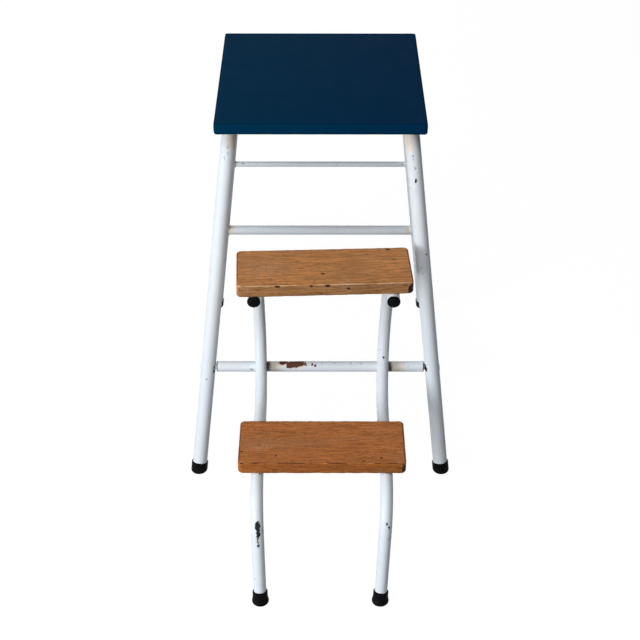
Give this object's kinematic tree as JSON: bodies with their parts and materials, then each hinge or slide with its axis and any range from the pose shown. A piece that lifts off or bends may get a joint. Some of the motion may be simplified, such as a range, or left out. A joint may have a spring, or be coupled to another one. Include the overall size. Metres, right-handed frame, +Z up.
{
  "type": "folding step stool chair",
  "caption": "Steel-tube stool with a padded seat and a step unit with wooden treads that swings in under the seat.",
  "frame": {"origin": "on the floor plane, under the middle of the whole object with the steps swung out", "axes": "+Z up, -Y towards the front where the steps stand, +X to the right of someone facing the steps"},
  "size_m": [0.456, 0.858, 0.64],
  "materials": {
    "frame_paint": "gloss white enamel on steel tube, chipped, rust spots",
    "seat_vinyl": "dark blue vinyl cloth, satin, faint grain",
    "foam": "thin foam sheet",
    "plywood": "raw birch plywood",
    "tread_wood": "varnished red-brown hardwood, worn and nicked",
    "rubber": "black moulded rubber",
    "nylon": "black nylon",
    "pin_steel": "steel pin, painted over where it shows",
    "steel": "zinc-plated steel"
  },
  "bodies": {
    "stool_frame": {"foot_front_left": "rubber", "foot_front_right": "rubber", "foot_rear_left": "rubber", "foot_rear_right": "rubber", "pivot_pin_left": "pin_steel", "pivot_pin_right": "pin_steel", "rear_crossbar": "frame_paint", "rear_rod": "frame_paint", "seat_board": "plywood", "seat_cover": "seat_vinyl", "seat_padding": "foam", "seat_screws": "steel", "seat_staples": "steel", "side_frame_left": "frame_paint", "side_frame_right": "frame_paint"},
    "step_unit": {"bar_bush_left": "nylon", "bar_bush_right": "nylon", "pivot_bar": "frame_paint", "step_cap_left": "rubber", "step_cap_right": "rubber", "step_foot_left": "rubber", "step_foot_right": "rubber", "step_side_left": "frame_paint", "step_side_right": "frame_paint", "tread_lower": "tread_wood", "tread_screws_lower": "steel", "tread_screws_upper": "steel", "tread_upper": "tread_wood"}
  },
  "joints": [
    {"name": "step_swing", "type": "hinge", "parent": "stool_frame", "child": "step_unit", "pos_m": [0, -0.0598, 0.199], "axis": [-1, 0, 0], "range_deg": [0, 144]}
  ]
}
